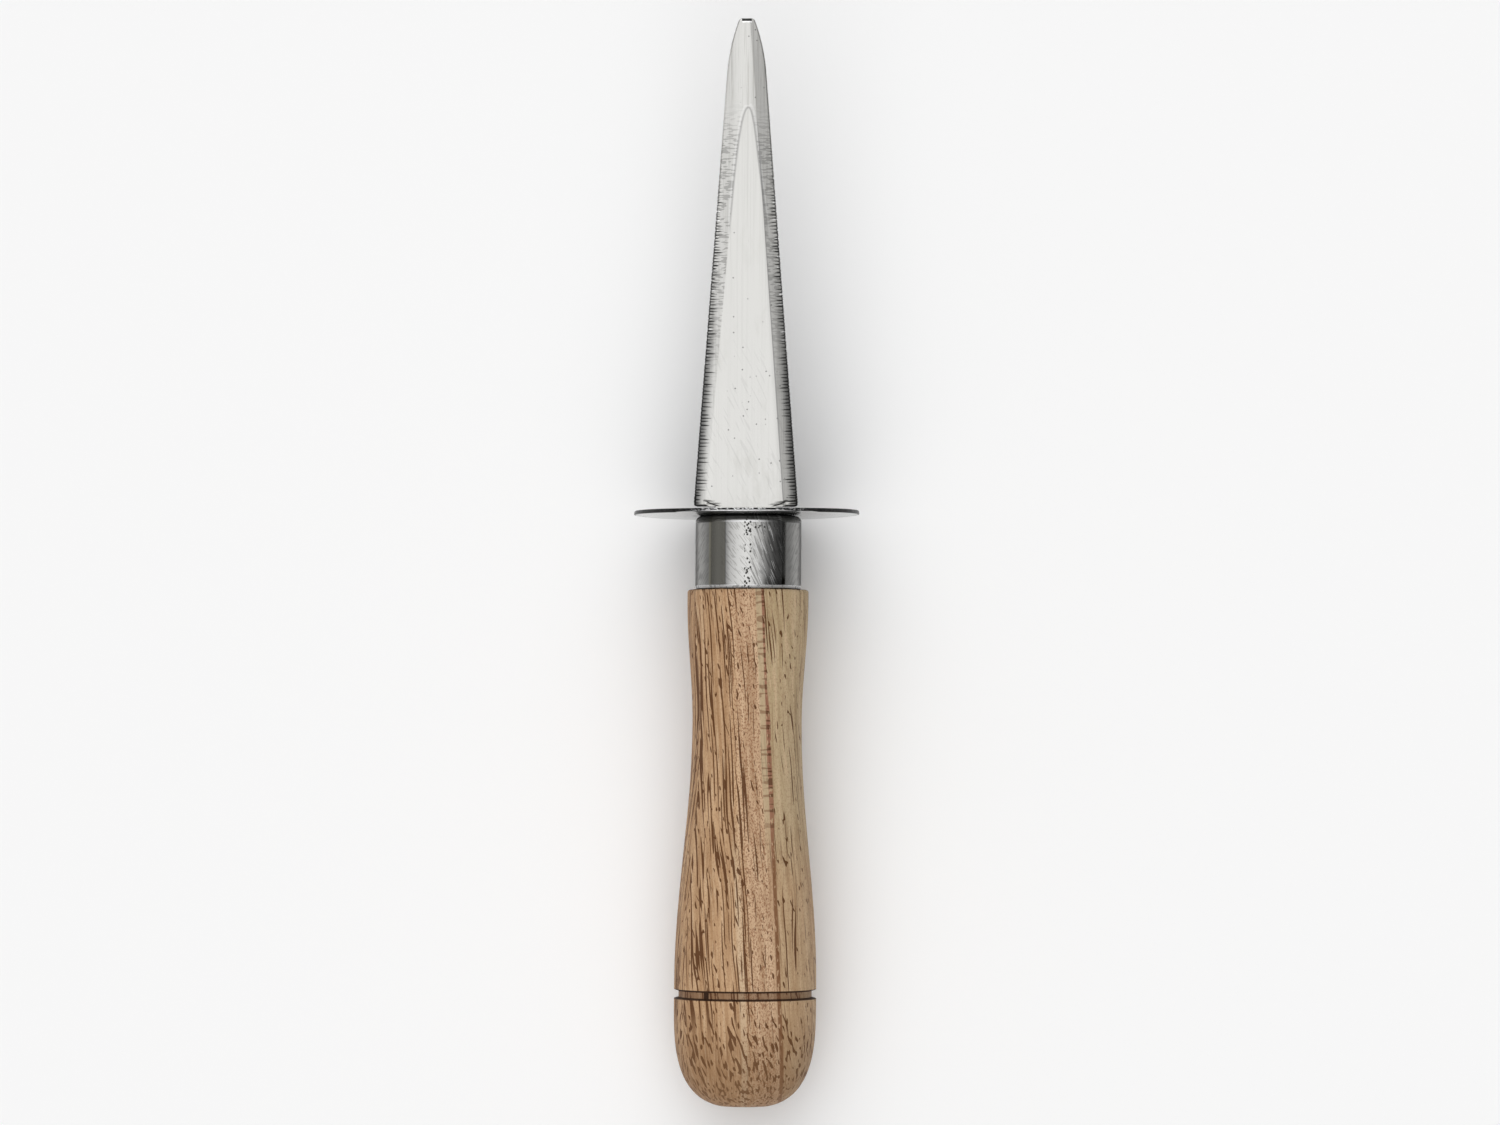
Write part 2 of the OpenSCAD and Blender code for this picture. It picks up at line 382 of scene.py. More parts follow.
def grind_marks(x, y, seed, pitch, reach, fade):
    """How deep each point lies in one of the lines ground across a bevel, from 0 to 1.

    The lines start at the edge, are longest at the shoulder and fade out between two places."""
    random = np.random.RandomState(seed)
    inward = half_width(x) - np.abs(y)
    depth = np.zeros_like(inward)
    place = SHOULDER_X + pitch
    while place < fade[1]:
        width = random.uniform(*LINE_WIDTH)
        shorter = LENGTH_LOSS * (place - SHOULDER_X) / LENGTH_OVER
        length = reach * random.uniform(*LINE_LENGTH) * (LENGTH_AT_SHOULDER - shorter)
        slant = random.uniform(*LINE_SLANT)
        strength = random.uniform(*LINE_STRENGTH)
        near = np.abs(x[:, 0] - place) < LINE_NEAR
        line = np.exp(-((x[near] - place - slant * inward[near]) / width) ** 2)
        along = np.clip(1.1 - inward[near] / length, 0, 1) ** 0.6
        depth[near] = np.maximum(depth[near], strength * line * along)
        place += pitch * random.uniform(*LINE_GAP)
    return depth * (1 - smooth_step(x, *fade))


def both_sides(x, y, left, right):
    """The grind marks of the left bevel and those of the right one."""
    return np.where(y > 0, grind_marks(x, y, *left), grind_marks(x, y, *right))


def blade_face():
    """The upper face's points, and what its material needs to know of each."""
    x = blade_rows()
    y = blade_columns(x)
    x = np.broadcast_to(x[:, None], y.shape)
    marks = both_sides(x, y, DARK_LEFT, DARK_RIGHT)
    glints = both_sides(x, y, GLINTS_LEFT, GLINTS_RIGHT) * smooth_step(x, *GLINTS_START)
    edge = half_width(x) - np.abs(y)
    radius = np.where(y > ARCH_Y, LEFT_R, RIGHT_R)
    flank = np.where(y > ARCH_Y, LEFT_FLANK, RIGHT_FLANK)
    steep = np.hypot(np.minimum(np.abs(y - ARCH_Y) / radius, flank), DIP)
    fields = {
        "edge_mm": edge,
        "arch_mm": crown(x, y) / steep,
        "ridge_mm": -ridge_at(x) - y,
        "scallop_mm": scallop(x, y),
        "marks": marks,
        "glints": glints,
    }
    z = blade_height(x, y) - MARK_DEPTH * marks
    notch = NOTCH * np.maximum(glints, NOTCH_OF_MARK * marks) * (edge < NOTCH_WITHIN)
    return np.stack([x, y - np.sign(y) * notch, z], axis=-1), fields


def add_blade(material):
    """The forging: tang, neck, both faces of the blade and the tip."""
    face, fields = blade_face()
    back = face * (1, -1, -1)
    flat = face[0, :, 1] / face[0, 0, 1]
    upper = np.ones_like(flat)

    def bar_ring(place, half):
        return ring(place, half * np.append(flat, -flat), TANG_T / 2 * np.append(upper, -upper))

    bars = [
        ring(TANG_END_X, 0, 0)[None, :],
        bar_ring(TANG_END_X, TANG_END_HALF), bar_ring(NECK_X, TANG_HALF),
        bar_ring(NECK_X, NECK_HALF), bar_ring(SHOULDER_X, NECK_HALF)]
    rings = bars + list(np.concatenate([face, back], axis=1)) + [ring(TIP_X, 0, 0)[None, :]]
    piece = loft("blade_forged", [points + (0, BLADE_SHIFT, 0) for points in rings])

    bar_points = sum(len(points) for points in bars)
    for name, values in fields.items():
        both = np.concatenate([values, values], axis=1).ravel()
        store(piece, name, np.concatenate([np.full(bar_points, BAR_FIELDS[name]), both, [0]]))
    return finish_piece(piece, "blade", material)


# The turned pieces: rings about the axis

RING_STEPS = 192


def turns(steps):
    """The angle of each step about the axis."""
    return np.arange(steps) * 2 * math.pi / steps


def quarter(count):
    """Angles over a quarter turn."""
    return np.linspace(0, math.pi / 2, count)


def turned_ring(x, radius, steps=RING_STEPS):
    """A ring about the axis; radius is one number or an array, one for each step."""
    turn = turns(steps)
    return ring(x, radius * np.sin(turn), radius * np.cos(turn))


def slot_radius(steps=RING_STEPS):
    """Radius of the wall of the tang's slot at each step about the axis."""
    turn = turns(steps)
    return np.minimum((TANG_HALF + SLOT_CLEAR) / np.maximum(np.abs(np.sin(turn)), 1e-6),
                      (TANG_T / 2 + SLOT_CLEAR) / np.maximum(np.abs(np.cos(turn)), 1e-6))


def leaned(rings):
    """The grip's rings, set a little off the blade's axis."""
    return [points + np.outer(GRIP_SHIFT + GRIP_LEAN * points[:, 0], (0, 1, 0)) for points in rings]


# The guard, with its rim from the lower face up: rise, cut into the radius, and roughness
GUARD_STEPS = 768
GUARD_FACE_RADII = (7, 10, 13, 16, 18.5)
GUARD_RIM = [(0, 0.16, 0), (0.02, 0.06, 0), (0.07, 0.01, 0), (0.3, 0.015, 0.01),
             (0.42, 0.03, 0.03), (0.55, 0.05, 0.05), (0.64, 0.09, 0.06), (GUARD_T, 0.18, 0.06)]
# Pitch and seed of the coarse and of the fine nicks in its rim
GUARD_NICKS = ((0.9, 22), (0.35, 21))


def guard_bend(y):
    """How far the hand-fitted plate stands towards the tip at a distance from the middle."""
    return GUARD_BEND * y ** 2 - GUARD_LEAN * y


def add_guard(material):
    """The slotted plate with its worn rim."""
    around = turns(GUARD_STEPS) * GUARD_R
    nick = sum(0.5 * wobble(around, pitch, seed) for pitch, seed in GUARD_NICKS)
    slot = slot_radius(GUARD_STEPS)
    outline = [(GUARD_X, slot)] + [(GUARD_X, radius) for radius in GUARD_FACE_RADII]
    outline += [(GUARD_X + rise, GUARD_R - cut + rough * (nick - 1))
                for rise, cut, rough in GUARD_RIM]
    outline += [(NECK_X, radius) for radius in reversed(GUARD_FACE_RADII)] + [(NECK_X, slot)]
    rings = [turned_ring(x, radius, GUARD_STEPS) for x, radius in outline]
    rings = [points + np.outer(guard_bend(points[:, 1]), (1, 0, 0)) for points in rings]
    piece = loft("guard_plate", rings, closed=True)
    return finish_piece(piece, "guard", material)


# The ferrule, with its worn mouth: height above the handle's shoulder and cut into the radius
FERRULE_MOUTH = [(0, 0.25), (0.03, 0.19), (0.08, 0.15), (0.16, 0.12), (0.6, 0.02), (0.75, 0)]
FERRULE_SIDE_FROM = 1.2


def add_ferrule(material):
    """The drawn cap: worn mouth, straight side, rounded shoulder and slotted top."""
    inner_r = FERRULE_R - FERRULE_WALL
    inner_round = FERRULE_ROUND - FERRULE_WALL
    side = np.linspace(FERRULE_SIDE_FROM, FERRULE_LEN - FERRULE_ROUND, 10)
    outline = [(0, inner_r)] + [(x, FERRULE_R - cut) for x, cut in FERRULE_MOUTH]
    outline += [(x, FERRULE_R) for x in side]
    outline += [(FERRULE_LEN - FERRULE_ROUND * (1 - math.sin(a)),
                 FERRULE_R - FERRULE_ROUND * (1 - math.cos(a))) for a in quarter(12)[1:]]
    outline += [(FERRULE_LEN, slot_radius()), (TENON_X, slot_radius())]
    outline += [(TENON_X - inner_round * (1 - math.cos(a)),
                 inner_r - inner_round * (1 - math.sin(a))) for a in quarter(5)]
    rings = [turned_ring(x, radius) for x, radius in outline]
    piece = loft("ferrule_cap", leaned(rings), closed=True)
    return finish_piece(piece, "ferrule", material)


# The handle, with rings a pitch apart but for its ends and its groove
HANDLE_PITCH = 0.6
GROOVE_MARGIN = 1.2
GROOVE_SIDE = 1
BUTT_ROWS_LEN = 0.5
TENON_CHAMFER = 0.35


def grip_radius(depth):
    """The handle's radius at a depth below its shoulder, without its groove."""
    if depth < TOP_ROUND:
        return TOP_R - TOP_ROUND + math.sqrt(TOP_ROUND ** 2 - (TOP_ROUND - depth) ** 2)
    if depth < WAIST_AT:
        part = max(0, depth - TOP_LAND) / (WAIST_AT - TOP_LAND)
        return TOP_R + (WAIST_R - TOP_R) * (1 - math.cos(math.pi * part)) / 2
    if depth < SWELL_AT:
        part = (depth - WAIST_AT) / (SWELL_AT - WAIST_AT)
        return WAIST_R + (BUTT_R - WAIST_R) * (1 - math.cos(math.pi * part)) / 2
    into = max(0, depth - (HANDLE_LEN - DOME_LEN))
    dome_turn = math.acos((BUTT_FLAT_R / BUTT_R) ** (DOME_POWER / 2))
    dome_full = DOME_LEN / math.sin(dome_turn) ** (2 / DOME_POWER)
    return BUTT_R * (1 - (into / dome_full) ** DOME_POWER) ** (1 / DOME_POWER)


def groove_cut(depth):
    """How far the turned groove cuts in at a depth below the shoulder."""
    off = abs(-depth - GROOVE_X)
    wall = (GROOVE_W - GROOVE_FLOOR_W) / 2
    return GROOVE_DEPTH * min(1, max(0, (GROOVE_W / 2 - off) / wall))


def handle_depths():
    """How far below the shoulder each ring of the handle lies."""
    groove = -GROOVE_X
    offsets = (GROOVE_SIDE, GROOVE_W / 2, GROOVE_FLOOR_W / 2)
    top = [TOP_ROUND * (1 - math.cos(a)) for a in quarter(8)]
    body = [depth for depth in np.arange(1, HANDLE_LEN - BUTT_ROWS_LEN, HANDLE_PITCH)
            if abs(depth - groove) > GROOVE_MARGIN]
    at_groove = [groove + side * offset for offset in offsets for side in (-1, 1)]
    butt = [HANDLE_LEN - BUTT_ROWS_LEN * part ** 2 for part in np.linspace(1, 0, 6)]
    return sorted(top + body + at_groove + butt)


def add_handle(material):
    """The turned handle with its bore and tenon."""
    rings = [ring(BORE_END_X, 0, 0)[None, :], turned_ring(BORE_END_X, BORE_R),
             turned_ring(TENON_X, BORE_R), turned_ring(TENON_X, TENON_R - TENON_CHAMFER),
             turned_ring(TENON_X - TENON_CHAMFER, TENON_R), turned_ring(0, TENON_R)]
    for depth in handle_depths():
        radius = grip_radius(depth) - groove_cut(depth) - SKIN
        rings.append(turned_ring(-min(depth, HANDLE_LEN - SKIN), radius))
    rings.append(ring(SKIN - HANDLE_LEN, 0, 0)[None, :])
    piece = loft("handle_turned", leaned(rings))
    return finish_piece(piece, "handle", material, sharp=28)


# Node helpers

SPECK_SOFT = 0.03


class Graph:
    """A node tree with one short call for each kind of step."""

    def __init__(self, tree):
        self.tree = tree

    def wire(self, socket, value):
        """Links a socket to another one, or gives it a plain value."""
        if isinstance(value, bpy.types.NodeSocket):
            self.tree.links.new(value, socket)
        else:
            socket.default_value = value

    def add(self, kind, settings=(), inputs=()):
        node = self.tree.nodes.new("ShaderNode" + kind)
        for name, value in dict(settings).items():
            setattr(node, name, value)
        for name, value in dict(inputs).items():
            self.wire(node.inputs[name], value)
        return node

    def math(self, operation, a, b=0.0):
        return self.add("Math", {"operation": operation}, {0: a, 1: b}).outputs[0]

    def step(self, value, low, high, to_low=0.0, to_high=1.0, kind="SMOOTHSTEP"):
        """A value that turns from to_low to to_high between low and high."""
        node = self.add("MapRange", {"interpolation_type": kind}, {
            "Value": value, "From Min": low, "From Max": high,
            "To Min": to_low, "To Max": to_high})
        return node.outputs[0]

    def product(self, *values):
        """Values multiplied together."""
        total = values[0]
        for value in values[1:]:
            total = self.math("MULTIPLY", total, value)
        return total

    def most(self, *values):
        """The largest of the values."""
        total = values[0]
        for value in values[1:]:
            total = self.math("MAXIMUM", total, value)
        return total

    def linear(self, offset, *terms):
        """An offset plus each value times its factor."""
        total = offset
        for factor, value in terms:
            node = self.add("Math", {"operation": "MULTIPLY_ADD"}, {0: value, 1: factor, 2: total})
            total = node.outputs[0]
        return total

    def band(self, value, middle, half, soft):
        """1 within half of the middle, falling to 0 over a soft edge."""
        off = self.math("ABSOLUTE", self.math("SUBTRACT", value, middle))
        return self.step(off, half, half + soft, 1.0, 0.0)

    def mix(self, part, a, b):
        """Colour a where part is 0, colour b where it is 1."""
        return self.add("Mix", {"data_type": "RGBA"}, {0: part, 6: a, 7: b}).outputs[2]

    def paint(self, color, tone, *parts):
        """A colour with a tone laid over it, as strong as the product of the parts."""
        return self.mix(self.product(*parts), color, tone)

    def stretch(self, vector, sizes):
        """A vector in units of the sizes along x, y and z."""
        return self.add("VectorMath", {"operation": "DIVIDE"}, {0: vector, 1: sizes}).outputs[0]

    def noise(self, vector, detail=2.0, rough=0.5):
        node = self.add("TexNoise", inputs={
            "Vector": vector, "Scale": 1.0, "Detail": detail, "Roughness": rough})
        return node.outputs[0]

    def cells(self, vector, dimensions="3D"):
        """Distance to the nearest random point, and a random colour for it."""
        node = self.add("TexVoronoi", {"feature": "F1", "voronoi_dimensions": dimensions},
                        {"Vector": vector, "Scale": 1.0})
        return node.outputs["Distance"], node.outputs["Color"]

    def specks(self, vector, sizes, level, seed):
        """1 where a noise stretched to the sizes rises over a level: separate small marks."""
        moved = self.add("VectorMath", {"operation": "ADD"}, {0: vector, 1: (0, seed, 0)})
        value = self.noise(self.stretch(moved.outputs[0], sizes), 0)
        return self.step(self.math("SUBTRACT", value, level), 0.0, SPECK_SOFT)

    def parts(self, vector):
        return self.add("SeparateXYZ", inputs={0: vector}).outputs

    def join(self, x, y, z):
        return self.add("CombineXYZ", inputs={0: x, 1: y, 2: z}).outputs[0]

    def field(self, name):
        """A number that the piece keeps for each of its points."""
        return self.add("Attribute", {"attribute_name": name}).outputs["Fac"]

    def knife_mm(self):
        """The place on the piece in knife millimetres."""
        source = self.add("TexCoord").outputs["Object"]
        node = self.add("Mapping", {"vector_type": "TEXTURE"}, {
            "Vector": source, "Location": KNIFE.translation,
            "Rotation": (0, -TILT, 0), "Scale": (MM, MM, MM)})
        return node.outputs[0]

    def bump(self, height, depth_mm):
        node = self.add("Bump", inputs={
            "Strength": 1.0, "Distance": depth_mm * MM, "Height": height})
        return node.outputs[0]


def new_material(name):
    """A material, its graph and its shader."""
    material = bpy.data.materials.new(name)
    material.use_nodes = True
    return material, Graph(material.node_tree), material.node_tree.nodes["Principled BSDF"]


def grey(value, warm=0.0):
    """A grey, or with warmth a tone that leans to brown."""
    return (value, value * (1 - warm * 0.2), value * (1 - warm), 1)


# Materials: colours are linear, and places, sizes and depths are in knife millimetres

# How much the steels' black parts shine, which aren't metal
BLACK_SHINE = 0.1


def finish_steel(graph, shader, color, black, rough):
    """Wires up a steel that is metal wherever it isn't black."""
    graph.wire(shader.inputs["Base Color"], color)
    graph.wire(shader.inputs["Metallic"], graph.step(black, 0, 1, 1, 0))
    graph.wire(shader.inputs["Roughness"], rough)
    shader.inputs["Specular IOR Level"].default_value = BLACK_SHINE


# The blade's steel

def blade_flat(graph, spot, ground):
    """The polished steel: lengthwise streaks, clouds, faint slanting scratches and tiny pits."""
    x, y, z = graph.parts(spot)
    worn = graph.step(x, 52, 34)
    streaks = graph.noise(graph.stretch(spot, (34, 0.4, 0.4)), 3, 0.7)
    on_flat = graph.step(x, 45, 70, 0.1, 0.2)
    on_grind = graph.step(x, 80, 94, 0.4, 0.65)
    depth = graph.step(ground, 0, 1, on_flat, on_grind)
    color = graph.paint(grey(0.54, 0.04), grey(0.3, 0.08), graph.step(streaks, 0.46, 0.7), depth)

    clouds = graph.noise(graph.stretch(spot, (7, 2.4, 2.4)), 3, 0.6)
    color = graph.paint(color, grey(0.36, 0.1), graph.step(clouds, 0.5, 0.7),
                        graph.linear(0.1, (0.12, worn)))
    slanting = graph.join(x, graph.linear(0.0, (1.0, y), (-0.5, x)), z)
    scratches = graph.specks(slanting, (3.5, 0.4, 1.5), 0.68, 5)
    color = graph.paint(color, grey(0.2), scratches, worn, 0.12)

    near, tint = graph.cells(graph.stretch(spot, (1.3, 1.3, 1.3)))
    rare = graph.linear(0.8, (-0.35, graph.step(x, 56, 40)), (-0.3, graph.step(x, 88, 93)))
    kept = graph.math("GREATER_THAN", tint, rare)
    return graph.paint(color, grey(0.06), graph.step(near, 0.13, 0.07), kept, 0.75), streaks


def blade_grinds(graph, color, spot, edge, ground, on_right):
    """The grinds: fine hatching across them, a greyer right side, and shade along the edges."""
    x, y, z = graph.parts(spot)
    sway = graph.noise(graph.stretch(spot, (1.3, 1.0, 1.0)), 1)
    waved = graph.join(graph.linear(0.0, (1.0, x), (0.15, sway)), y, z)
    hatching = graph.specks(waved, (0.3, 1.2, 2.4), graph.linear(0.55, (-0.05, on_right)), 41)
    middle = graph.product(graph.step(x, 88, 78), graph.step(x, 30, 56))
    color = graph.paint(color, grey(0.13, 0.05), hatching, ground, middle, 0.45)
    color = graph.paint(color, grey(0.3, 0.08), on_right, graph.step(x, 101, 92), 0.22)
    shade = graph.product(graph.step(edge, 2.0, 0.2), graph.step(x, 64, 34), ground)
    return graph.paint(color, grey(0.05), shade, 0.85)


def blade_lines(graph, color, x, arch, ridge):
    """Painted shade along the arch's crease, a painted highlight inside it, and painted shade along
    the ridge.
    """
    upper = graph.step(x, 61, 69)
    color = graph.paint(color, grey(0.2), graph.band(arch, -0.02, 0.06, 0.2), upper, 0.5)
    color = graph.paint(color, grey(0.72), graph.band(arch, 0.34, 0.06, 0.1), upper, 0.25)
    ridge_line = graph.band(ridge, 0.06, 0.06, 0.1)
    return graph.paint(color, grey(0.14), ridge_line, graph.step(x, 86, 78), 0.5)


def blade_black(graph, x, edge, at_tip):
    """Where the blade is black: its ground lines, and painted shade along its ragged edges, on the
    corner arcs, at the foot, at the heel and on the tip's rim.
    """
    height = graph.math("SUBTRACT", x, SHOULDER_X)
    marks = graph.step(graph.field("marks"), 0.15, 0.5)
    ragged = graph.noise(graph.join(graph.math("DIVIDE", x, 0.4), 0.0, 0.0), 1)
    # Painted shade: the ragged edges, the corner arcs, the foot, the heel and the tip's rim
    edges = graph.product(graph.step(edge, 0.34, 0.2), graph.step(ragged, 0.38, 0.52),
                          graph.step(x, 78, 62, 0.0, 0.8))
    arcs = graph.product(graph.band(graph.field("scallop_mm"), 0.04, 0.07, 0.07),
                         graph.step(height, 1.4, 1.0),
                         graph.step(edge, 2.1, 2.4), graph.step(edge, 4.4, 3.9))
    foot = graph.product(graph.step(height, 0.42, 0.22), graph.step(edge, 2.4, 2.0))
    heel = graph.product(graph.step(height, 3, 1.5), graph.step(edge, 0.5, 0.3))
    tip = graph.product(graph.step(x, TIP_X - 0.56, TIP_X - 0.48), at_tip)
    return graph.most(marks, edges, arcs, foot, heel, tip)


def blade_steel():
    """Polished flat, crowned grind with fine lengthwise lines, and cross-ground bevels."""
    material, graph, shader = new_material("blade_steel")
    spot = graph.knife_mm()
    x, y, _ = graph.parts(spot)
    edge, arch, ridge = (graph.field(name) for name in ("edge_mm", "arch_mm", "ridge_mm"))
    on_right = graph.step(ridge, 0.0, 0.05)
    ground = graph.most(on_right, graph.step(arch, -0.03, 0.06))
    color, streaks = blade_flat(graph, spot, ground)
    color = blade_grinds(graph, color, spot, edge, ground, on_right)
    color = blade_lines(graph, color, x, arch, ridge)

    from_middle = graph.math("ABSOLUTE", graph.math("SUBTRACT", y, BLADE_SHIFT))
    at_tip = graph.step(from_middle, 0.95, 0.8)
    # Painted highlights: a bright line under the tip's rim, and the glints between the ground lines
    tip_glint = graph.product(graph.band(x, TIP_X - 0.66, 0.1, 0.04), at_tip)
    shine = graph.most(tip_glint, graph.step(graph.field("glints"), 0.2, 0.55))
    color = graph.paint(color, grey(0.95), shine, 0.9)
    # The black: ground lines, and painted shade on the edges, arcs, foot, heel and tip's rim
    black = blade_black(graph, x, edge, at_tip)
    color = graph.paint(color, grey(0.012), black, 0.96)

    rough = graph.most(graph.step(ground, 0, 1, 0.18, 0.26), graph.product(shine, 0.5))
    finish_steel(graph, shader, color, black, rough)
    graph.wire(shader.inputs["Normal"], graph.bump(streaks, 0.002))
    return material


# The guard's steel

def guard_black(graph, out, size, level, on_rim, speckle):
    """Where the guard is black: its sheared upper edge, speckled in the middle and blackened
    towards both sides by painted shade, and painted shade all around the ferrule.
    """
    # Painted shade: towards both sides the black reaches further down the rim and loses its
    # speckled gaps
    reach = graph.linear(0.36, (0.2, graph.step(size, 5, 10)), (0.55, graph.step(size, 11, 16)))
    sheared = graph.step(graph.linear(-GUARD_T, (1.0, level), (1.0, reach)), -0.05, 0.02)
    gaps = graph.most(graph.step(speckle, 0.4, 0.48), graph.step(size, 6, 12, 0.0, 0.97))
    # Painted shade where the guard meets the ferrule, on its lower face and on the lower rim over
    # the ferrule
    contact = graph.product(graph.step(out, FERRULE_R + 0.6, FERRULE_R + 0.1),
                            graph.step(level, 0.1, 0.05))
    lower_rim = graph.product(graph.step(size, FERRULE_R + 0.2, FERRULE_R - 0.8), on_rim,
                              graph.step(level, 0.2, 0.14))
    ferrule_shade = graph.product(graph.most(contact, lower_rim), 0.95)
    return graph.most(graph.product(sheared, on_rim, gaps), ferrule_shade)


def guard_steel():
    """Smooth plate with a speckled rim, and painted shade that darkens it towards the ferrule."""
    material, graph, shader = new_material("guard_steel")
    spot = graph.knife_mm()
    x, y, z = graph.parts(spot)
    out = graph.math("SQRT", graph.linear(0.0, (y, y), (z, z)))
    size = graph.math("ABSOLUTE", y)
    bend = graph.product(y, y)
    level = graph.linear(-GUARD_X, (1.0, x), (GUARD_LEAN, y), (-GUARD_BEND, bend))
    on_rim = graph.step(out, GUARD_R - 0.3, GUARD_R - 0.24)
    speckle = graph.noise(graph.stretch(spot, (0.3, 0.5, 0.5)), 2, 0.7)
    streaks = graph.noise(graph.stretch(spot, (1, 0.25, 2.5)), 3, 0.6)

    color = graph.mix(graph.step(streaks, 0.35, 0.7, 0, 0.35), grey(0.31), grey(0.22))
    # Painted shade: the plate darkens from near the rim towards the ferrule
    color = graph.mix(graph.step(out, GUARD_R - 1, FERRULE_R + 2, 0, 0.6), color, grey(0.14))
    rim_color = graph.mix(graph.step(speckle, 0.42, 0.6, 0.3, 0), grey(0.8), grey(0.15))
    color = graph.mix(on_rim, color, rim_color)
    black = guard_black(graph, out, size, level, on_rim, speckle)
    color = graph.mix(black, color, grey(0.01))

    rough = graph.step(out, GUARD_R - 0.4, GUARD_R - 0.2, 0.12, 0.3)
    finish_steel(graph, shader, color, black, rough)
    graph.wire(shader.inputs["Normal"], graph.bump(speckle, 0.006))
    return material


# The ferrule's steel, placed by the distance around it from its top line towards the left

SIDE_FROM = 7.2
# The distances around between which a dark reflection is painted on the left
LEFT_REFLECTION = (4.0, 7.05)
PIT_CELL = (0.6, 0.5)


def ferrule_scratches(graph, color, x, around, on_right, on_side):
    """Fine slanting scratches, dark ones all over and bright curved ones on the right."""
    def slanting(slope, bend=0.0):
        curve = graph.math("POWER", graph.math("SUBTRACT", FERRULE_LEN, x), 2.0)
        return graph.join(x, graph.linear(0.0, (1.0, around), (-slope, x), (bend, curve)), 0.0)

    in_middle = graph.product(graph.step(around, 5.2, 4.4), graph.step(around, -1.6, -0.6))
    curved = slanting(0.2, 0.012)
    scratches = [
        (graph.specks(curved, (5, 0.33, 1), 0.57, 3), on_right, 0.5, grey(0.08, 0.1)),
        (graph.specks(slanting(0.8), (1.3, 0.32, 1), 0.57, 7), in_middle, 0.32, grey(0.14, 0.1)),
        (graph.specks(slanting(0.6), (1.2, 0.32, 1), 0.6, 9), on_right, 0.3, grey(0.12)),
        (graph.specks(slanting(-0.8), (1.5, 0.36, 1), 0.54, 11), on_side, 0.4, grey(0.1)),
    ]
    for marks, place, amount, tone in scratches:
        color = graph.paint(color, tone, marks, place, amount)
    glow = graph.product(graph.specks(curved, (3, 0.3, 1), 0.63, 17), on_right,
                         graph.step(around, -5.6, -4.6, 0.3, 1))
    return graph.paint(color, grey(0.9), glow, 0.5), glow


def ferrule_painted_reflections(graph, color, x, around, off, on_right, on_side):
    """Painted reflections in long dark stripes: both sides, one with dark borders on the left, and
    painted shade at the right's foot.
    """
    # Painted reflections: darker sides, dark borders and a warm dark stripe on the left
    color = graph.paint(color, grey(0.1, 0.05), on_side, graph.step(off, 7.5, 12, 0.85, 0))
    inner, outer = LEFT_REFLECTION
    for border in (outer, inner):
        color = graph.paint(color, grey(0.1), graph.band(around, border, 0.1, 0.15), 0.6)
    on_left = graph.product(graph.step(around, outer + 0.65, outer + 0.45),
                            graph.step(around, inner - 0.1, inner + 0.1))
    color = graph.paint(color, grey(0.4, 0.25), on_left, 0.5)
    left_edge = graph.product(on_left, graph.step(around, 5.2, 7.3, 0, 0.45))
    right_edge = graph.band(around, -7.1, 0.35, 0.3)
    foot = graph.product(graph.step(x, 3.0, 0.9), on_right, graph.step(around, -2.5, -3.5))
    shade = graph.linear(0.0, (1.0, left_edge), (0.62, right_edge), (0.5, foot))
    return graph.mix(shade, color, grey(0.02, 0.3))


def ferrule_pits(graph, x, around):
    """Pits in a column down the middle, denser at both ends, and in a short row near the top."""
    column = graph.band(around, -0.25, 0.5, 0.3)
    dense = graph.most(graph.step(x, 4.2, 3.2), graph.step(x, 9.0, 10.0))
    row = graph.product(graph.band(x, 10.9, 0.2, 0.15), graph.step(around, 0.4, 0.0),
                        graph.step(around, -4.4, -3.8))
    place = graph.most(graph.product(column, graph.linear(0.45, (0.55, dense))), row)
    along, across = PIT_CELL
    cell = graph.join(graph.math("DIVIDE", x, along), graph.math("DIVIDE", around, across), 0.0)
    near, tint = graph.cells(cell, "2D")
    kept = graph.math("GREATER_THAN", graph.math("ADD", tint, place), 1.05)
    return graph.product(graph.step(near, 0.4, 0.26), kept)


def ferrule_top(graph, x, around, off):
    """How dark the painted shade on the rounded shoulder is: down to a line that lies lower at the
    sides, with a lighter painted glint inside it.
    """
    reach = graph.step(off, 5.5, 7.0, 0.88, 1.35)
    dark = graph.step(graph.math("ADD", x, reach), FERRULE_LEN - 0.1, FERRULE_LEN + 0.15)
    dark = graph.product(dark, graph.step(off, 5.5, 7.0, 0.93, 0.82),
                         graph.step(around, -7, -5.5, 0.7, 1))
    glint = graph.band(x, FERRULE_LEN - 0.5, 0.06, 0.1)
    return graph.math("SUBTRACT", dark, graph.product(glint, 0.3))


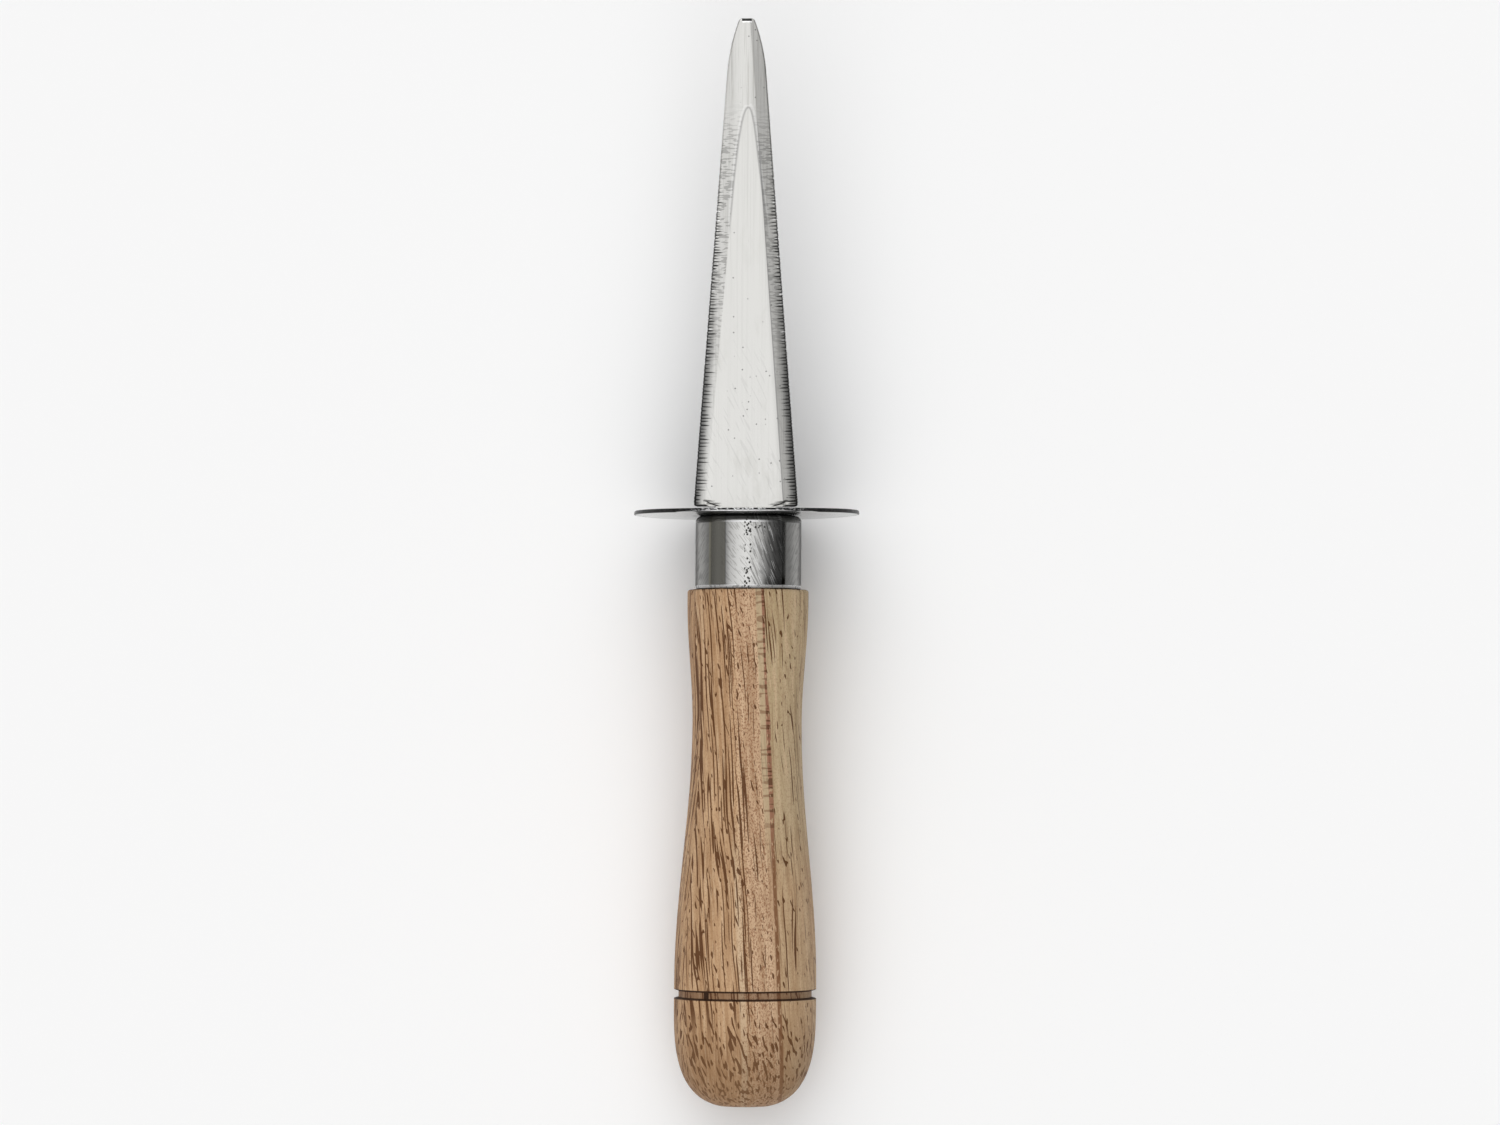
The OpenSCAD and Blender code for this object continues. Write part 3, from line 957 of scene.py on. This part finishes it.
def ferrule_steel():
    """Polished cap with scratches and pits, painted reflections in stripes, a painted highlight
    near the top, and a rough mouth with a painted highlight.
    """
    material, graph, shader = new_material("ferrule_steel")
    spot = graph.knife_mm()
    x, y, z = graph.parts(spot)
    around = graph.math("MULTIPLY", graph.math("ARCTAN2", y, z), FERRULE_R)
    off = graph.math("ABSOLUTE", graph.linear(0.25, (1.0, around)))
    on_right = graph.product(graph.step(around, -0.2, -1.4),
                             graph.step(around, -SIDE_FROM - 0.2, -SIDE_FROM))
    on_side = graph.step(off, SIDE_FROM, SIDE_FROM + 0.15)
    color, glow = ferrule_scratches(graph, grey(0.49, 0.03), x, around, on_right, on_side)
    color = ferrule_painted_reflections(graph, color, x, around, off, on_right, on_side)

    # The mouth is rough, and its brightness is a painted highlight
    mouth = graph.product(graph.step(x, 0.14, 0.2), graph.step(x, 0.75, 0.63))
    color = graph.paint(color, grey(0.9), mouth, 0.9)
    # A painted highlight just below the rounded shoulder, in front
    in_front = graph.step(graph.math("ABSOLUTE", around), 6.0, 1.5)
    lip = graph.product(graph.band(x, FERRULE_LEN - 1.2, 0.13, 0.08), in_front)
    color = graph.mix(lip, color, grey(0.95))
    pits = graph.product(ferrule_pits(graph, x, around), 0.9)
    worn = graph.product(mouth, graph.specks(spot, (1, 0.6, 0.6), 0.58, 29), 0.4)
    # Painted shade in the gap between the mouth and the handle
    gap = graph.step(x, 0.12, 0.05, 0, 0.9)
    black = graph.most(pits, worn, ferrule_top(graph, x, around, off), gap)
    color = graph.mix(black, color, grey(0.02, 0.2))

    rough = graph.linear(0.12, (0.4, glow), (0.45, mouth), (0.3, lip))
    finish_steel(graph, shader, color, black, rough)
    shader.inputs["Specular Tint"].default_value = (0.3, 0.3, 0.3, 1)
    return material


# The handle's wood, in growth zones by the distance left of its growth line

# The pale and the deep colour of each zone
ROSY = ((0.62, 0.42, 0.265, 1), (0.50, 0.32, 0.19, 1))
BROWN = ((0.56, 0.36, 0.205, 1), (0.42, 0.25, 0.13, 1))
OLIVE = ((0.55, 0.42, 0.26, 1), (0.45, 0.335, 0.19, 1))
WARM = ((0.57, 0.41, 0.25, 1), (0.45, 0.29, 0.16, 1))
DARK_FIBRE = (0.25, 0.13, 0.058, 1)
PALE_FIBRE = (0.70, 0.51, 0.33, 1)
PALE_STRIPE = (0.66, 0.50, 0.33, 1)
LINE_STRIPE = (0.51, 0.395, 0.245, 1)
RAY_BROWN = (0.22, 0.11, 0.055, 1)
LINE_LOW = (0.20, 0.088, 0.038, 1)
LINE_HIGH = (0.31, 0.14, 0.085, 1)
LINE_TICK = (0.11, 0.04, 0.018, 1)
BUTT_GRAIN_AND_SHADE = (0.20, 0.105, 0.045, 1)
GROOVE_BROWN = (0.22, 0.10, 0.055, 1)
GROOVE_DARK = (0.03, 0.011, 0.005, 1)
GAP_SHADE = (0.02, 0.012, 0.008, 1)
STIPPLE_BROWN = (0.25, 0.11, 0.05, 1)
VESSEL_BROWN = (0.085, 0.026, 0.004, 1)
# Where the grain's coordinates turn over to the handle's sides, and how far they jump there
SIDE_SLOPE = 1.6
SIDE_JUMP = 40


def wood_grain(graph, x, y, z, drift):
    """Coordinates along the grain, turned over on the sides so that it isn't stretched there."""
    steep = graph.product(graph.math("ABSOLUTE", z), SIDE_SLOPE)
    on_side = graph.math("GREATER_THAN", graph.math("ABSOLUTE", y), steep)
    change = graph.product(on_side, graph.math("SUBTRACT", z, y))
    across = graph.linear(0.0, (1.0, y), (1.0, change), (-0.07, x), (1.8, drift),
                          (SIDE_JUMP, on_side))
    return graph.join(x, across, graph.math("SUBTRACT", z, change))


def wood_ground(graph, x, grain, ring_mm):
    """The wood's ground colour: its growth zones, with fine fibres and one pale stripe."""
    low = graph.step(x, -38, -54)
    tone = graph.noise(graph.stretch(grain, (45, 1.6, 2.4)), 3, 0.6)
    deep = graph.step(tone, 0.32, 0.68)
    rosy, brown, olive, warm = (graph.mix(deep, *tones) for tones in (ROSY, BROWN, OLIVE, WARM))
    color = graph.mix(graph.step(ring_mm, 3.5, 6.5), rosy, brown)
    color = graph.mix(graph.step(ring_mm, -0.1, -0.4), color, graph.mix(low, olive, warm))
    fibres = graph.noise(graph.stretch(grain, (12, 0.5, 1.2)), 2, 0.7)
    color = graph.mix(graph.step(fibres, 0.5, 0.7, 0, 0.4), color, DARK_FIBRE)
    color = graph.mix(graph.step(fibres, 0.5, 0.3, 0, 0.45), color, PALE_FIBRE)
    return graph.paint(color, PALE_STRIPE, graph.band(ring_mm, 6.4, 0.3, 0.5), low,
                       graph.step(fibres, 0.3, 0.5, 0.4, 1), 0.7)


def wood_vessels(graph, x, grain, ring_mm):
    """How dark the long streaks and the short dashes are, from 0 to 1."""
    sparse = graph.most(graph.step(ring_mm, 6.0, 3.0), graph.step(ring_mm, 0.5, 0.0, 0, 0.7))
    wide = graph.specks(grain, (20, 0.38, 2.0), graph.linear(0.655, (0.10, sparse)), 0)
    thin = graph.specks(grain, (14, 0.31, 1.6), graph.linear(0.62, (0.10, sparse)), 31)
    dome = graph.step(x, -72, -80)
    streaks = graph.product(graph.most(wide, thin), graph.step(dome, 0, 1, 1.0, 0.3))
    along, across, up = graph.parts(grain)
    slanting = graph.join(along, graph.linear(0.0, (1.0, across), (-0.16, along)), up)
    level = graph.linear(0.70, (0.03, sparse), (-0.12, dome))
    return graph.most(streaks, graph.specks(slanting, (1.8, 0.46, 0.7), level, 57))


def wood_line(graph, color, x, spot, ring_mm):
    """The growth line: a broken reddish line beside a pale band, both crossed by ray flecks."""
    high = graph.step(x, -52, -36)
    rays = graph.noise(graph.stretch(spot, (0.5, 4.0, 4.0)), 0)
    band = graph.product(graph.step(ring_mm, 0.0, 0.15), graph.step(ring_mm, 1.3, 1.0), high)
    color = graph.paint(color, LINE_STRIPE, band, 0.75)
    color = graph.paint(color, RAY_BROWN, graph.step(rays, 0.57, 0.65), band, 0.65)
    broken = graph.noise(graph.stretch(spot, (1.3, 0.45, 0.45)), 2, 0.6)
    half = graph.most(graph.band(x, -32, 8, 10), graph.step(high, 0, 1, 0.8, 0.35))
    off = graph.math("ABSOLUTE", graph.linear(0.0, (1.0, ring_mm), (0.3, half)))
    line = graph.step(graph.linear(0.0, (1.0, off), (-0.3, half)), 0.0, 0.22, 1.0, 0.0)
    ticks = graph.product(graph.step(rays, 0.5, 0.6), high)
    line_color = graph.mix(ticks, graph.mix(high, LINE_LOW, LINE_HIGH), LINE_TICK)
    return graph.paint(color, line_color, line, graph.step(broken, 0.3, 0.44), 0.9)


def wood_turning(graph, color, x, y, spot):
    """The butt's end, darker from its end grain and from painted shade, the groove's brown floor,
    painted shade on its lips with a dark patch in it, and painted shade in the gap at the shoulder.
    """
    # The butt's end: darker end grain and painted shade
    color = graph.paint(color, BUTT_GRAIN_AND_SHADE, graph.step(x, -72, -90), 0.55)
    floor = GROOVE_FLOOR_W / 2
    off = graph.math("ABSOLUTE", graph.math("SUBTRACT", x, GROOVE_X))
    in_groove = graph.step(off, floor + 0.05, floor - 0.05)
    color = graph.paint(color, GROOVE_BROWN, in_groove, 0.35)
    # Painted shade on the groove's lips, and a dark patch in the groove
    groove_patch = graph.product(graph.band(y, 6.9, 0.35, 0.2), in_groove)
    color = graph.paint(color, GROOVE_DARK, graph.most(graph.band(off, 0.7, 0.14, 0.07), groove_patch), 0.95)
    chips = graph.noise(graph.stretch(spot, (0.3, 0.5, 0.5)), 1)
    # Painted shade in the gap under the ferrule's mouth
    gap = graph.step(x, -0.16, -0.04, 0, 0.95)
    return graph.paint(color, GAP_SHADE, gap, graph.step(chips, 0.35, 0.5, 0.3, 1))


def handle_wood():
    """Pale hardwood, turned and oiled."""
    material, graph, shader = new_material("handle_wood")
    spot = graph.knife_mm()
    x, y, z = graph.parts(spot)
    drift = graph.noise(graph.stretch(spot, (26, 5, 5)), 1)
    ring_mm = graph.linear(1.55, (1.0, y), (-0.042, x), (0.08, z), (0.5, drift))
    grain = wood_grain(graph, x, y, z, drift)
    color = wood_ground(graph, x, grain, ring_mm)

    stipple = graph.noise(graph.stretch(spot, (0.4, 0.27, 0.4)), 1, 0.7)
    stippled = graph.product(graph.step(ring_mm, 0.2, 1.0), graph.step(ring_mm, 7.5, 5.0))
    color = graph.paint(color, STIPPLE_BROWN, graph.step(stipple, 0.5, 0.6),
                        graph.linear(0.25, (0.45, stippled)))
    vessels = wood_vessels(graph, x, grain, ring_mm)
    color = graph.paint(color, VESSEL_BROWN, vessels, 0.9)
    color = wood_line(graph, color, x, spot, ring_mm)
    color = wood_turning(graph, color, x, y, spot)

    graph.wire(shader.inputs["Base Color"], color)
    shader.inputs["Roughness"].default_value = 0.6
    shader.inputs["Specular IOR Level"].default_value = 0.15
    pores = graph.linear(0.0, (-1.0, vessels), (-0.2, stipple))
    graph.wire(shader.inputs["Normal"], graph.bump(pores, 0.03))
    return material


# The resin and the floor

def cured_resin():
    """Brown resin with soft clouds."""
    material, graph, shader = new_material("cured_resin")
    clouds = graph.noise(graph.stretch(graph.knife_mm(), (3, 1.5, 1.5)), 3)
    color = graph.mix(clouds, (0.42, 0.27, 0.12, 1), (0.30, 0.18, 0.07, 1))
    graph.wire(shader.inputs["Base Color"], color)
    shader.inputs["Roughness"].default_value = 0.5
    graph.wire(shader.inputs["Normal"], graph.bump(clouds, 0.05))
    return material


def pale_floor():
    """Matt and almost white."""
    material, _, shader = new_material("pale_floor")
    shader.inputs["Base Color"].default_value = grey(0.95)
    shader.inputs["Roughness"].default_value = 0.9
    shader.inputs["Specular IOR Level"].default_value = 0.1
    return material


# The stage

FLOOR_HALF = 8.0

# The camera: its eye and its aim in knife millimetres, its focal length in the photo's pixels
PHOTO_W = 1500
FOCAL_PX = 5477
SENSOR_MM = 36
EYE = (-26.1, -0.6, 972)
AIM = (4.87, -0.6, 0)
ROLL = math.radians(-0.13)

# The tent over the knife: degrees from straight up towards the camera's right, and its light
TENT = [(-90, 0.28), (-58, 0.24), (-54.5, 0.24), (-53.5, 0.34), (-48, 0.55), (-39, 0.96),
        (-25, 1.24), (-10, 1.43), (0, 1.43), (10, 1.25), (21, 1.03), (33, 0.55), (44, 0.25),
        (60, 0.11), (73, 0.06), (90, 0.14)]
# How much lighter its two ends are, and where they begin, as a part of the direction along x
TENT_END_GAIN = 1.4
TENT_END = (0.34, 0.57)
# The light at the horizon, and how far above it the tent takes over
HORIZON = 0.9
HORIZON_FADE = (0.004, 0.03)


def add_floor():
    """A wide pale floor under the knife."""
    mesh = bpy.data.meshes.new("floor")
    far = FLOOR_HALF
    mesh.from_pydata([(-far, -far, 0), (far, -far, 0), (far, far, 0), (-far, far, 0)], [],
                     [(0, 1, 2, 3)])
    floor = bpy.data.objects.new("floor", mesh)
    bpy.context.scene.collection.objects.link(floor)
    mesh.materials.append(pale_floor())


def add_tent():
    """A soft light tent as the world: bright overhead, dim at the sides, pale at the horizon."""
    world = bpy.data.worlds.new("tent")
    world.use_nodes = True
    bpy.context.scene.world = world
    graph = Graph(world.node_tree)
    x, y, z = graph.parts(graph.add("TexCoord").outputs["Generated"])
    turn = graph.math("ARCTAN2", graph.math("MULTIPLY", y, -1.0), z)
    place = graph.step(turn, -math.pi / 2, math.pi / 2, kind="LINEAR")
    ramp = graph.add("ValToRGB", inputs={0: place})
    brightest = max(light for _, light in TENT)
    stops = ramp.color_ramp.elements
    while len(stops) < len(TENT):
        stops.new(0.5)
    # All the places come first, because a stop that moves past another changes their order
    for stop, (angle, _) in zip(stops, TENT):
        stop.position = (angle + 90) / 180
    for stop, (_, light) in zip(stops, TENT):
        stop.color = grey(light / brightest)
    ends = graph.step(graph.math("ABSOLUTE", x), *TENT_END, 1.0, TENT_END_GAIN)
    light = graph.product(ramp.outputs[0], ends, brightest)
    above = graph.step(z, *HORIZON_FADE)
    strength = graph.add("Mix", {"data_type": "FLOAT"}, {0: above, 2: HORIZON, 3: light})
    background = world.node_tree.nodes["Background"]
    background.inputs["Color"].default_value = (1, 1, 1, 1)
    graph.wire(background.inputs["Strength"], strength.outputs[0])


def add_camera():
    """A camera straight above the knife, rolled so that the blade points up."""
    lens = bpy.data.cameras.new("camera")
    lens.sensor_width = SENSOR_MM
    lens.lens = SENSOR_MM * FOCAL_PX / PHOTO_W
    lens.clip_end = 100
    camera = bpy.data.objects.new("camera", lens)
    bpy.context.scene.collection.objects.link(camera)
    eye = in_row(*EYE)
    forward = (in_row(*AIM) - eye).normalized()
    right = forward.cross(KNIFE.to_3x3().col[0]).normalized()
    right = Matrix.Rotation(ROLL, 3, forward) @ right
    up = right.cross(forward)
    camera.matrix_world = Matrix((
        (right.x, up.x, -forward.x, eye.x),
        (right.y, up.y, -forward.y, eye.y),
        (right.z, up.z, -forward.z, eye.z),
        (0, 0, 0, 1)))
    bpy.context.scene.camera = camera


def dress_resin(material):
    """Gives the hidden resin its material; it keeps its CAD node."""
    resin = frame["nodes"]["tang_resin"]
    resin.data.materials.clear()
    resin.data.materials.append(material)


add_camera()
add_floor()
add_tent()
add_blade(blade_steel())
add_guard(guard_steel())
add_ferrule(ferrule_steel())
add_handle(handle_wood())
dress_resin(cured_resin())
bpy.context.scene.view_settings.view_transform = "Standard"
